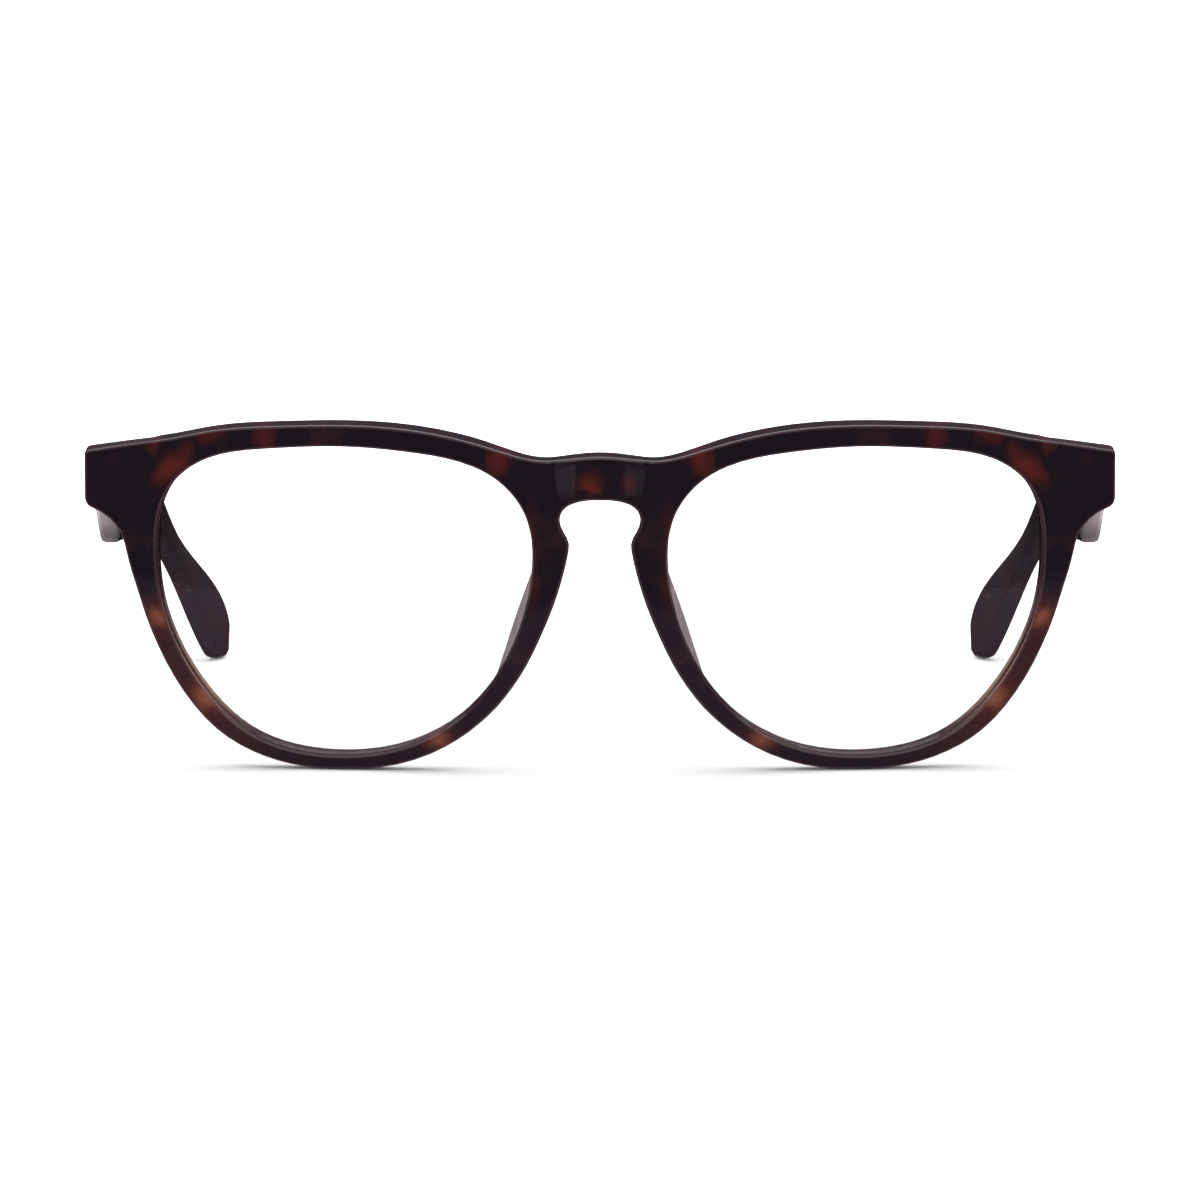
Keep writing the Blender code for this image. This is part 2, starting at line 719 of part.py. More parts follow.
def pad_mesh(name, side):
    """Build a nose pad: a fin that stands back from the rim and flares away from the nose."""
    top_angle, bottom_angle = PAD_ANGLES_SHARES
    origin = Vector((BRIDGE_WIDTH / 2, centre_v - half_height))
    crest_top = origin + Vector(PAD_CREST_TOP)
    crest_bottom = origin + Vector(PAD_CREST_BOTTOM)
    base_w = FRONT_THICKNESS + PAD_GLUE_GAP
    sections = []
    for i in range(PAD_SECTIONS):
        share = (1 - math.cos(math.pi * i / (PAD_SECTIONS - 1))) / 2
        angle = top_angle + (bottom_angle - top_angle) * share
        root = rim_point(angle, PAD_INSET)
        towards_nose = opening_normal(angle)
        round_off = math.sqrt(1 - abs(2 * share - 1) ** PAD_END_FULLNESS)
        rise = PAD_END_DEPTH_SHARE + (1 - PAD_END_DEPTH_SHARE) * round_off
        crest = root.lerp(crest_top.lerp(crest_bottom, share), rise)
        root_half = PAD_ROOT_THICKNESS / 2
        crest_half = PAD_CREST_THICKNESS / 2
        depth = PAD_DEPTH * rise
        profile = (
            (-root_half, 0), (-root_half * 0.8, 0.45), (-crest_half, 0.86), (-crest_half / 2, 0.97),
            (0, 1.0), (crest_half / 2, 0.97), (crest_half, 0.86), (root_half * 0.8, 0.45),
            (root_half, 0),
        )
        section = []
        for across, height in profile:
            point = root.lerp(crest, height) + towards_nose * across
            section.append(front_point(*point, base_w + depth * height))
        sections.append(section)
    shape = bmesh.new()
    loft(shape, sections)
    return finish_mesh(name, shape, side, crease_angle=50)


def temple_line(along):
    """Return a temple's middle line as (along the shaft, up) and its downward turn."""
    arc = TEMPLE_BEND_RADIUS * drop
    if along < TEMPLE_BEND_START:
        return along, 0.0, 0.0
    past = along - TEMPLE_BEND_START
    if past < arc:
        turn = past / TEMPLE_BEND_RADIUS
        out = TEMPLE_BEND_START + TEMPLE_BEND_RADIUS * math.sin(turn)
        return out, -TEMPLE_BEND_RADIUS * (1 - math.cos(turn)), turn
    past -= arc
    out = TEMPLE_BEND_START + TEMPLE_BEND_RADIUS * math.sin(drop) + past * math.cos(drop)
    return out, -TEMPLE_BEND_RADIUS * (1 - math.cos(drop)) - past * math.sin(drop), drop


def temple_hook(along):
    """Return how far the temple has curved in towards the head."""
    past = max(0.0, along - TEMPLE_HOOK_START)
    if past < TEMPLE_HOOK_ARC:
        return hook_slope * past ** 2 / (2 * TEMPLE_HOOK_ARC)
    return hook_slope * (past - TEMPLE_HOOK_ARC / 2)


def blend_sizes(along, stops):
    """Read a size between (place, size) stops with an eased change."""
    for (start, first), (end, second) in zip(stops, stops[1:]):
        if along <= end:
            return first + (second - first) * smoothstep((along - start) / (end - start))
    return stops[-1][1]


def temple_height(along):
    """Return the temple's height, with a round end."""
    end_round = TEMPLE_TIP_HEIGHT / 2
    height = blend_sizes(along, (
        (0.0, TEMPLE_BUTT_HEIGHT),
        (TEMPLE_TAPER_LENGTH, TEMPLE_SHAFT_HEIGHT),
        (TEMPLE_BEND_START, TEMPLE_BEND_HEIGHT),
        (TEMPLE_TIP_START, TEMPLE_BEND_HEIGHT),
        (TEMPLE_LENGTH - end_round, TEMPLE_TIP_HEIGHT),
    ))
    past = max(0.0, along - (TEMPLE_LENGTH - end_round)) / end_round
    return height * math.sqrt(max(0.0, 1 - past ** 2))


def temple_thickness(along):
    """Return the temple's thickness, rounded off at the very tip."""
    thickness = blend_sizes(along, (
        (PLATE_LENGTH, TEMPLE_THICKNESS),
        (TEMPLE_BEND_START, TEMPLE_BEND_THICKNESS),
        (TEMPLE_LENGTH, TEMPLE_TIP_THICKNESS),
    ))
    end_round = TEMPLE_TIP_THICKNESS / 2
    past = max(0.0, along - (TEMPLE_LENGTH - end_round)) / end_round
    return thickness * math.sqrt(max(0.0, 1 - past ** 2))


def temple_point(along, outward, upward):
    """Place a point given across a temple's section in the hinge's frame."""
    out, up, turn = temple_line(along)
    x = HINGE_INSET + TEMPLE_THICKNESS / 2 - temple_hook(along) + outward
    y = out + BUTT_GAP - HINGE_SETBACK + upward * math.sin(turn)
    return Vector((x, y, up - HINGE_RISE + upward * math.cos(turn)))


def temple_section(along, inset=0.0):
    """Return the rounded section of a temple at a distance from its butt."""
    half_thick = temple_thickness(along) / 2 - inset
    half_high = temple_height(along) / 2 - inset
    tipward = smoothstep((along - TEMPLE_BEND_START) / (TEMPLE_LENGTH - TEMPLE_BEND_START))
    corner = TEMPLE_EDGE_ROUND + (half_thick - TEMPLE_EDGE_ROUND) * tipward * 0.6
    corner = min(corner, half_thick * 0.95, half_high * 0.95)
    tuck = TEMPLE_TUCK * (1 - smoothstep(along / TEMPLE_TAPER_LENGTH))
    points = []
    for quarter in range(4):
        sign_x = (1, -1, -1, 1)[quarter]
        sign_z = (1, 1, -1, -1)[quarter]
        for step in range(3):
            turn = math.pi / 2 * (quarter + step / 2)
            x = sign_x * (half_thick - corner) + corner * math.cos(turn)
            z = sign_z * (half_high - corner) + corner * math.sin(turn)
            if quarter == 3:
                x -= tuck
            points.append((x, z))
    points.append((half_thick, -half_high * 0.2))
    return [temple_point(along, x, z) for x, z in points]


def temple_mesh(name, side):
    """Loft a temple from its flat butt over the bend to its round tip."""
    end_round = TEMPLE_TIP_HEIGHT / 2
    tip_start = TEMPLE_LENGTH - end_round
    stops = [TEMPLE_BUTT_ROUND]
    for i in range(1, TEMPLE_STEPS):
        share = i / TEMPLE_STEPS
        stops.append(tip_start * (1 - (1 - share) ** 1.25))
    for step in range(7):
        stops.append(tip_start + end_round * math.sin(math.pi / 2 * step / 7))
    stops.append(TEMPLE_LENGTH - end_round * 0.006)
    sections = [temple_section(0.0, inset=TEMPLE_BUTT_ROUND)]
    sections += [temple_section(along) for along in stops]
    shape = bmesh.new()
    loft(shape, sections)
    return finish_mesh(name, shape, side, crease_angle=40)


def tube_mesh(name, start, end, radius, side):
    """Run a round bar along the middle of a temple."""
    sections = []
    for i in range(CORE_STEPS + 1):
        along = start + (end - start) * i / CORE_STEPS
        ring = []
        for k in range(CORE_SIDES):
            turn = 2 * math.pi * (k + 0.5) / CORE_SIDES
            ring.append(temple_point(along, radius * math.cos(turn), radius * math.sin(turn)))
        sections.append(ring)
    shape = bmesh.new()
    loft(shape, sections)
    return finish_mesh(name, shape, side)


def block_mesh(name, low, high, side=1):
    """Build a box between two corners."""
    shape = bmesh.new()
    bmesh.ops.create_cube(shape, size=1.0)
    size = Vector(high) - Vector(low)
    bmesh.ops.scale(shape, vec=size, verts=shape.verts)
    bmesh.ops.translate(shape, vec=(Vector(low) + Vector(high)) / 2, verts=shape.verts)
    return finish_mesh(name, shape, side)


def turned_mesh(name, profile):
    """Turn a (radius, height) profile about the hinge axis."""
    shape = bmesh.new()
    points = [shape.verts.new((radius, 0, height)) for radius, height in profile]
    edges = [shape.edges.new(pair) for pair in zip(points, points[1:])]
    bmesh.ops.spin(
        shape, geom=points + edges, cent=(0, 0, 0), axis=(0, 0, 1),
        angle=2 * math.pi, steps=ROUND_SIDES,
    )
    bmesh.ops.remove_doubles(shape, verts=shape.verts, dist=MERGE_DISTANCE)
    return finish_mesh(name, shape)


def bar_profile(radius, low, high):
    """Return the profile of a plain round bar."""
    return ((0, low), (radius, low), (radius, high), (0, high))


def barrel_low(index):
    """Return the height at which a barrel starts, counted from the bottom one."""
    return -HINGE_HEIGHT / 2 + index * (barrel_height + BARREL_GAP)


def barrels_mesh(name, indices, web, towards, side):
    """Build barrels with webs that run straight to the leaf that carries them."""
    shape = bmesh.new()
    for index in indices:
        outline = []
        for k in range(ROUND_SIDES // 2 + 1):
            turn = math.pi * k / (ROUND_SIDES // 2)
            outline.append((BARREL_RADIUS * math.cos(turn), BARREL_RADIUS * math.sin(turn)))
        outline += [(-BARREL_RADIUS, -web), (BARREL_RADIUS, -web)]
        if towards == "temple":
            outline = [(-y, x) for x, y in outline]
        low = barrel_low(index)
        loft(shape, [[(x, y, z) for x, y in outline] for z in (low, low + barrel_height)])
    return finish_mesh(name, shape, side)


def plate_mesh(name, side):
    """Build the temple leaf's plate: a head behind the barrels and a narrow round tail."""
    head = PLATE_HEAD_HEIGHT / 2
    tail = PLATE_TAIL_HEIGHT / 2
    neck = PLATE_HEAD_LENGTH + head - tail
    outline = [(-BARREL_RADIUS, -head), (PLATE_HEAD_LENGTH, -head), (neck, -tail)]
    centre = PLATE_LENGTH - BARREL_RADIUS - tail
    for k in range(7):
        turn = math.pi * (k / 6 - 0.5)
        outline.append((centre + tail * math.cos(turn), tail * math.sin(turn)))
    outline += [(neck, tail), (PLATE_HEAD_LENGTH, head), (-BARREL_RADIUS, head)]
    near = BARREL_RADIUS + BARREL_GAP
    shape = bmesh.new()
    loft(shape, [[(x, y, z) for y, z in outline] for x in (near, near + PLATE_THICKNESS)])
    return finish_mesh(name, shape, side)


def screw_mesh(name):
    """Turn the hinge screw: a domed head, a plain shank and a tapered point."""
    top = HINGE_HEIGHT / 2 + SCREW_SEAT_GAP
    low = -HINGE_HEIGHT / 2
    profile = (
        (0, low - SCREW_TIP_LENGTH),
        (SCREW_RADIUS * 0.6, low - SCREW_TIP_LENGTH),
        (SCREW_RADIUS, low),
        (SCREW_RADIUS, top),
        (SCREW_HEAD_RADIUS, top),
        (SCREW_HEAD_RADIUS, top + SCREW_HEAD_HEIGHT * 0.5),
        (SCREW_HEAD_RADIUS * 0.7, top + SCREW_HEAD_HEIGHT * 0.9),
        (0, top + SCREW_HEAD_HEIGHT),
    )
    return turned_mesh(name, profile)


def build_front(front, materials, stations, mitre):
    """Make the front from one half and its mirror image."""
    mesh = front_half_mesh(stations, mitre)
    piece = add_piece("front_frame", mesh, materials["acetate"], front)
    mirror = piece.modifiers.new("other_half", "MIRROR")
    mirror.use_axis = (True, False, False)
    mirror.use_clip = True
    mirror.merge_threshold = MERGE_DISTANCE
    return piece


def build_side(label, side, front, hinge, front_piece, materials):
    """Make one side's lens, nose pad, hinge, screw, temple and core wire."""
    lens = lens_mesh(f"{label}_lens", side)
    add_piece(lens.name, lens, materials["lens"], front)
    pad = pad_mesh(f"{label}_nose_pad", side)
    add_piece(pad.name, pad, materials["acetate"], front)

    bore_reach = HINGE_HEIGHT / 2 + OVERRUN
    bore_profile = bar_profile(BARREL_BORE_RADIUS, -bore_reach, bore_reach)
    bore_mesh = turned_mesh(f"{label}_bore_cutter", bore_profile)
    bore = add_tool(bore_mesh.name, bore_mesh, hinge)

    anchor_low = (-BARREL_RADIUS, -HINGE_SETBACK - ANCHOR_DEPTH, -ANCHOR_HEIGHT / 2)
    anchor_high = (BARREL_RADIUS, -HINGE_SETBACK, ANCHOR_HEIGHT / 2)
    anchor = block_mesh(f"{label}_front_hinge", anchor_low, anchor_high, side)
    front_leaf = add_piece(anchor.name, anchor, materials["steel"], hinge)
    front_web = HINGE_SETBACK + ANCHOR_DEPTH / 2
    front_rows = range(0, BARREL_COUNT, 2)
    front_barrels = barrels_mesh(f"{label}_front_barrels", front_rows, front_web, "front", side)
    add_boolean(front_leaf, add_tool(front_barrels.name, front_barrels, hinge), "UNION")
    add_boolean(front_leaf, bore, "DIFFERENCE")

    pocket_low = Vector(anchor_low) - Vector((INLAY_GAP, INLAY_GAP, INLAY_GAP))
    pocket_high = Vector(anchor_high) + Vector((INLAY_GAP, OVERRUN, INLAY_GAP))
    pocket = block_mesh(f"{label}_anchor_pocket", pocket_low, pocket_high, side)
    add_boolean(front_piece, add_tool(pocket.name, pocket, hinge), "DIFFERENCE")

    plate = plate_mesh(f"{label}_temple_hinge", side)
    temple_leaf = add_piece(plate.name, plate, materials["steel"], hinge)
    web = BARREL_RADIUS + BARREL_GAP + PLATE_THICKNESS / 2
    temple_rows = range(1, BARREL_COUNT, 2)
    temple_barrels = barrels_mesh(f"{label}_temple_barrels", temple_rows, web, "temple", side)
    add_boolean(temple_leaf, add_tool(temple_barrels.name, temple_barrels, hinge), "UNION")
    add_boolean(temple_leaf, bore, "DIFFERENCE")

    screw = screw_mesh(f"{label}_hinge_screw")
    screw_piece = add_piece(screw.name, screw, materials["steel"], hinge)
    head_top = HINGE_HEIGHT / 2 + SCREW_SEAT_GAP + SCREW_HEAD_HEIGHT
    slot_half = SCREW_SLOT_WIDTH / 2
    slot_reach = SCREW_HEAD_RADIUS + OVERRUN
    slot_low = (-slot_half, -slot_reach, head_top - SCREW_SLOT_DEPTH)
    slot = block_mesh(f"{label}_slot_cutter", slot_low, (slot_half, slot_reach, head_top + OVERRUN))
    add_boolean(screw_piece, add_tool(slot.name, slot, hinge), "DIFFERENCE")

    temple = temple_mesh(f"{label}_temple", side)
    temple_piece = add_piece(temple.name, temple, materials["acetate"], hinge)
    inlay_top = BARREL_RADIUS + BARREL_GAP + PLATE_THICKNESS + INLAY_GAP
    inlay_low = (HINGE_INSET - OVERRUN, -HINGE_SETBACK - OVERRUN, -PLATE_HEAD_HEIGHT / 2 - INLAY_GAP)
    inlay_end = PLATE_LENGTH - BARREL_RADIUS + INLAY_GAP
    inlay = block_mesh(f"{label}_plate_pocket", inlay_low, (inlay_top, inlay_end, -inlay_low[2]), side)
    add_boolean(temple_piece, add_tool(inlay.name, inlay, hinge), "DIFFERENCE")
    channel_end = CORE_END + CORE_GAP
    channel_radius = CORE_RADIUS + CORE_GAP
    channel = tube_mesh(f"{label}_core_channel", -OVERRUN, channel_end, channel_radius, side)
    add_boolean(temple_piece, add_tool(channel.name, channel, hinge), "DIFFERENCE")
    core = tube_mesh(f"{label}_temple_core", CORE_START, CORE_END, CORE_RADIUS, side)
    add_piece(core.name, core, materials["steel"], hinge)


def leaned(point):
    """Turn a point of the front's own frame by the front's lean."""
    c = math.cos(lean)
    s = math.sin(lean)
    return Vector((point.x, point.y * c - point.z * s, point.y * s + point.z * c))


def temple_slope(hinge_height):
    """Return the downward slope that sets the round temple tips on the floor."""
    radius = TEMPLE_TIP_HEIGHT / 2
    centre = temple_point(TEMPLE_LENGTH - radius, 0, 0)
    arm = math.hypot(centre.y, centre.z)
    return math.atan2(centre.z, centre.y) - math.asin((radius - hinge_height) / arm)


def box_of(pieces):
    """Return the corners of the box round pieces, as they stand in the scene."""
    bpy.context.view_layer.update()
    points = [p.matrix_world @ vertex.co for p in pieces for vertex in p.data.vertices]
    points += [Vector((-p.x, p.y, p.z)) for p in points]
    low = Vector([min(p[i] for p in points) for i in range(3)])
    high = Vector([max(p[i] for p in points) for i in range(3)])
    return low, high


def main():
    clear_scene()
    materials = {
        "acetate": make_material("dark_havana_acetate", (0.022, 0.012, 0.014), 0.12),
        "lens": make_material("clear_lens", (0.95, 0.97, 0.98), 0.03, alpha=0.15),
        "steel": make_material("hinge_steel", (0.55, 0.55, 0.57), 0.3, metallic=1.0),
    }
    stations = outline_stations()
    level = Mitre(0.0)
    hinge_u = endpiece_u - TEMPLE_SIDE_INSET - TEMPLE_THICKNESS - HINGE_INSET
    rim_low = min(leaned(front_point(*point, FRONT_EDGE_ROUND)).z for _, point, _ in stations)
    hinge_place = leaned(Vector((hinge_u, level.edge_y, level.hinge_v)))
    slope = temple_slope(hinge_place.z - rim_low - HINGE_SETBACK * math.sin(lean))
    hinge_place += Vector((0, math.cos(slope), -math.sin(slope))) * HINGE_SETBACK

    stand = add_empty("standing_point")
    front = add_empty("front_lean", stand, tilt=lean)
    front_piece = build_front(front, materials, stations, Mitre(slope))
    hinges = {}
    for label, side in (("left", 1), ("right", -1)):
        place = Vector((side * hinge_place.x, hinge_place.y, hinge_place.z))
        hinges[label] = add_empty(f"{label}_hinge_axis", stand, place, tilt=-slope)
        build_side(label, side, front, hinges[label], front_piece, materials)

    solids = [item for item in bpy.data.objects if item.type == "MESH" and not item.hide_render]
    low, high = box_of(solids)
    stand.location = (0, -(low.y + high.y) / 2, -low.z)
    bpy.context.view_layer.update()
    for label, hinge in hinges.items():
        place = [round(c, 6) for c in hinge.matrix_world.translation]
        axis = hinge.matrix_world.to_3x3() @ Vector((0, 0, 1))
        print(label, "hinge at", place, "turning about", [round(c, 6) for c in axis])


main()
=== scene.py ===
"""Looks of the acetate cat-eye spectacles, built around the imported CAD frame.

Units are metres and +Z is up. The wearer looks towards -Y, and the camera stands in
front of the glasses, a little above them. Left and right are the wearer's.
"""

import json
import math

import bmesh
import bpy
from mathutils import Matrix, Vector

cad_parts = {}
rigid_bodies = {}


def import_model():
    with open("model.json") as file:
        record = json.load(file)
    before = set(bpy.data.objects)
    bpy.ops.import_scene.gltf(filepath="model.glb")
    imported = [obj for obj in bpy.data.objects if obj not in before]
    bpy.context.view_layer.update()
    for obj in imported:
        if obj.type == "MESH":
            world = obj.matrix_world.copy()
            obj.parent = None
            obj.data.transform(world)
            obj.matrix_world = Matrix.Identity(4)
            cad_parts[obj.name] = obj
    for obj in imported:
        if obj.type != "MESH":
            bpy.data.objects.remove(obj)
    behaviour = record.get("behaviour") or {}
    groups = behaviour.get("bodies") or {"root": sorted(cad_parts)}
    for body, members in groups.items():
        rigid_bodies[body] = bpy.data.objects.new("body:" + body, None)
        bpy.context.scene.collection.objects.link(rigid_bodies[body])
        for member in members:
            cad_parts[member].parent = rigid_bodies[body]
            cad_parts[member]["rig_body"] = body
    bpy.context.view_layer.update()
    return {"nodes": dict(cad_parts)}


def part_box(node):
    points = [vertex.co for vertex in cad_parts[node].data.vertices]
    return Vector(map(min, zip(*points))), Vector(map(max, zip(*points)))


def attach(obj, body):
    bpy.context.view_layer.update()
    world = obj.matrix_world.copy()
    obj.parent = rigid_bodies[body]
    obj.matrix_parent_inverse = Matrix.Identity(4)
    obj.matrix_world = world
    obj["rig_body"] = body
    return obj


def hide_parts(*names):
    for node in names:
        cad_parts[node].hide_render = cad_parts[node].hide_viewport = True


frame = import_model()

# Camera, on a line through the bridge
VIEW_POINT = (0.0, -0.07123, 0.02434)
VIEW_DISTANCE = 0.900
VIEW_PITCH = 6.1
VIEW_LENS = 194.8
SENSOR_WIDTH = 36.0

# Studio
FLOOR_SIZE = 3.0
BACKDROP_Y = 1.2
BACKDROP_HEIGHT = 1.6
FRONT_LINE = -0.075
# Glow of the floor and backdrop at the glasses, and the distances over which it grows to white
NEAR_GLOW_FLOOR = 0.02
NEAR_GLOW_BACKDROP = 0.06
GLOW_START = 0.05
GLOW_FULL = 0.40
# Heights of the cards that lie on the floor, one above the other
NEAR_LIFT = 0.0004
CARD_LIFT = 0.0005
FLANK_LIFT = 0.0006
UPRIGHT = math.pi / 2
# Strength of the air where it is seen or mirrored, and where it lights
AIR_SEEN = 1.0
AIR_LIT = 0.18
# Outputs of the Light Path node
CAMERA_RAY = 0
GLOSSY_RAY = 3
TRANSMISSION_RAY = 6

# Copies of CAD meshes
MERGE_DISTANCE = 0.00001
CREASE_ANGLE = 32.0
QUAD_FACE_ANGLE = 12
QUAD_SHAPE_ANGLE = 60
FLAT_WEIGHT = 80

# Creases of the bridge's flanks, which stay crisp: least angle, reach, bottom and forward look
FLANK_ANGLE = 6.0
FLANK_REACH = 0.008
FLANK_BOTTOM = 0.036
FLANK_LOOK = -0.85
# Edges behind the endpieces, which are softened: greatest angle, span, bottom and rearward look
REAR_ANGLE = 55.0
REAR_START = 0.050
REAR_END = 0.063
REAR_BOTTOM = 0.034
REAR_LOOK = 0.15

# Faces with a finish of their own: the front's rounded edges by their forward look, which carry a
# painted highlight, the wall around a lens by its look to the side, reach and aim at the lens,
# and the temples' outer faces
ROUND_FIRST = -0.93
ROUND_LAST = -0.25
WALL_LOOK = 0.5
WALL_REACH = 0.030
WALL_AIM = 0.6
OUTER_LOOK = 0.6

MM = 1000.0


# Shader tools

class Wire:
    """The output of a shader node, with arithmetic that adds Math nodes."""

    def __init__(self, finish, socket):
        self.finish = finish
        self.socket = socket

    def _math(self, operation, first, second=None):
        values = {0: first} if second is None else {0: first, 1: second}
        return self.finish.node("ShaderNodeMath", {"operation": operation}, values)[0]

    def __add__(self, other):
        return self._math("ADD", self, other)

    def __radd__(self, other):
        return self._math("ADD", other, self)

    def __sub__(self, other):
        return self._math("SUBTRACT", self, other)

    def __mul__(self, other):
        return self._math("MULTIPLY", self, other)

    def __truediv__(self, other):
        return self._math("DIVIDE", self, other)

    def __pow__(self, other):
        return self._math("POWER", self, other)

    def __abs__(self):
        return self._math("ABSOLUTE", self)


class Finish:
    """A material under construction."""

    def __init__(self, name):
        self.material = bpy.data.materials.new(name)
        self.material.use_nodes = True
        self.tree = self.material.node_tree
        self.shader = self.tree.nodes["Principled BSDF"]

    def link(self, value, socket):
        """Put a number, colour, vector or wire on a socket."""
        if isinstance(value, Wire):
            self.tree.links.new(value.socket, socket)
        elif isinstance(value, (tuple, list)) and socket.type == "RGBA":
            socket.default_value = (*value, 1.0)
        else:
            socket.default_value = value

    def node(self, kind, settings=None, inputs=None):
        """Add a node: its settings first, then the values or wires of its sockets."""
        made = self.tree.nodes.new(kind)
        for key, setting in (settings or {}).items():
            setattr(made, key, setting)
        for key, value in (inputs or {}).items():
            self.link(value, made.inputs[key])
        return [Wire(self, socket) for socket in made.outputs]

    def wear(self, **values):
        """Set sockets of the Principled shader by name, with _ for a space."""
        for key, value in values.items():
            self.link(value, self.shader.inputs[key.replace("_", " ")])

    def place(self):
        """Return the Object coordinates in millimetres."""
        coordinates = self.node("ShaderNodeTexCoord")[3]
        return self.scaled(coordinates, (MM, MM, MM))

    def scaled(self, vector, factors):
        """Multiply a vector by three factors."""
        settings = {"operation": "MULTIPLY"}
        return self.node("ShaderNodeVectorMath", settings, {0: vector, 1: factors})[0]

    def parts(self, vector):
        """Return the three parts of a vector."""
        return self.node("ShaderNodeSeparateXYZ", None, {0: vector})

    def vector(self, x, y, z):
        """Join three values into a vector."""
        return self.node("ShaderNodeCombineXYZ", None, {0: x, 1: y, 2: z})[0]

    def marked(self, name):
        """Return the value that the piece's faces carry under a name."""
        return self.node("ShaderNodeAttribute", {"attribute_name": name})[2]

    def noise(self, vector, scale, detail=2.0, roughness=0.5, distortion=0.0):
        """Return a noise value around 0.5."""
        inputs = {
            "Vector": vector, "Scale": scale, "Detail": detail,
            "Roughness": roughness, "Distortion": distortion,
        }
        return self.node("ShaderNodeTexNoise", {"noise_dimensions": "3D"}, inputs)[0]

    def ease(self, value, low, high, first=0.0, last=1.0):
        """Run smoothly from first to last as the value goes from low to high."""
        settings = {"interpolation_type": "SMOOTHSTEP", "clamp": True}
        inputs = {0: value, 1: low, 2: high, 3: first, 4: last}
        return self.node("ShaderNodeMapRange", settings, inputs)[0]

    def slope(self, value, low, high, first=0.0, last=1.0):
        """Run straight from first to last as the value goes from low to high."""
        settings = {"interpolation_type": "LINEAR", "clamp": True}
        inputs = {0: value, 1: low, 2: high, 3: first, 4: last}
        return self.node("ShaderNodeMapRange", settings, inputs)[0]

    def blend(self, share, first, second):
        """Mix two colours."""
        settings = {"data_type": "RGBA", "blend_type": "MIX"}
        return self.node("ShaderNodeMix", settings, {0: share, 6: first, 7: second})[2]

    def bump(self, height, strength, distance):
        """Return a normal from a height in metres of distance."""
        inputs = {"Strength": strength, "Distance": distance, "Height": height}
        return self.node("ShaderNodeBump", None, inputs)[0]


# Finishes

NEAR_BLACK = (0.0105, 0.0070, 0.0112)
SMOKY_BROWN = (0.019, 0.0095, 0.0125)
WARM_BROWN = (0.034, 0.0115, 0.0115)
CHERRY_RED = (0.084, 0.0140, 0.0110)
# A painted highlight: the lighter brown laid on the front's forward-looking rounded edges
EDGE_PAINTED_HIGHLIGHT = (0.085, 0.050, 0.054)
HONEY_AMBER = (0.215, 0.065, 0.036)

# Patches of the front sheet in millimetres, given on one half and met again on the other:
# across and up, half length, half width, lean in degrees and strength
RED_PATCHES = (
    (59.3, 42.6, 3.2, 1.5, -48, 1.0),
    (61.9, 46.1, 1.2, 1.6, 0, 0.6),
    (54.2, 47.2, 1.9, 1.1, 0, 0.5),
    (46.4, 47.2, 1.7, 2.4, 0, 0.7),
    (13.8, 44.4, 1.6, 2.4, 0, 0.8),
    (9.4, 29.9, 1.0, 7.0, 0, 0.35),
    (61.6, 21.5, 2.8, 2.6, 0, 0.6),
    (55.0, 10.0, 3.4, 3.2, 40, 0.7),
    (22.5, 4.6, 3.0, 2.0, 0, 0.6),
)
AMBER_PATCHES = (
    (61.6, 21.5, 1.5, 1.3, 0, 0.75),
    (55.0, 10.0, 1.9, 1.9, 0, 1.0),
    (22.5, 4.6, 1.5, 1.1, 0, 0.8),
)
# The two patches on the bridge, which are met on one side only
BRIDGE_PATCHES = (
    (-1.5, 40.7, 1.7, 1.4, 0, 0.75),
    (-1.4, 39.9, 1.3, 0.5, 0, 0.6),
    (3.9, 40.6, 1.1, 1.2, 0, 0.4),
)
# How far a patch reaches, as the square of its ellipse's radius, and how its strength falls off
PATCH_REACH = 3.0
PATCH_FALL = 2.4
# Size and reach of the noise that makes the patches' edges wander, per millimetre and in millimetres
WANDER_SCALE = 0.30
WANDER_REACH = 3.0

# The inner wall of a rim, where light comes through the sheet's edge
WALL_DARK = (0.030, 0.012, 0.015)
WALL_TAN = (0.42, 0.27, 0.175)
WALL_PLUM = (0.17, 0.085, 0.110)
WALL_RUSSET = (0.105, 0.030, 0.023)
TAN_PATCH = (55.2, 14.0, 8.2, 3.4, 54, 1.0)
PLUM_PATCH = (60.5, 24.0, 3.0, 3.0, 0, 0.8)
RUSSET_PATCH = (26.0, 5.0, 6.5, 2.0, -18, 0.8)

# A point on the temples' turning lines and the way back along a temple, for their butts
HINGE_Y = -57.205
HINGE_Z = 38.176
HINGE_ACROSS = 0.993
HINGE_UP = 0.119
# Where the cut face of a butt starts, ahead of the hinge, and the heights over which its painted light
# runs from painted shade below to pale above
BUTT_START = -2.7
BUTT_FULL = -3.0
BUTT_LOW = 32.0
BUTT_HIGH = 37.0
# Colours of the temples' inner faces and outer faces, and the painted light and painted shade on the
# butts
TEMPLE_DARK = (0.025, 0.0185, 0.025)
TEMPLE_BROWN = (0.032, 0.018, 0.021)
TEMPLE_RED = (0.060, 0.018, 0.015)
OUTER_BLACK = (0.012, 0.008, 0.011)
OUTER_RED = (0.085, 0.014, 0.010)
OUTER_AMBER = (0.200, 0.062, 0.030)
BUTT_PAINTED_LIGHT = (0.82, 0.71, 0.77)
BUTT_PAINTED_SHADE = (0.18, 0.155, 0.17)


def patch(finish, across, up, outline):
    """Return how far a point lies within a soft leaning patch."""
    centre_across, centre_up, length, width, lean, strength = outline
    turn = math.radians(lean)
    side = across - centre_across
    rise = up - centre_up
    along = (side * math.cos(turn) + rise * math.sin(turn)) / length
    over = (rise * math.cos(turn) - side * math.sin(turn)) / width
    return finish.slope(along * along + over * over, PATCH_REACH, 0.0) ** PATCH_FALL * strength


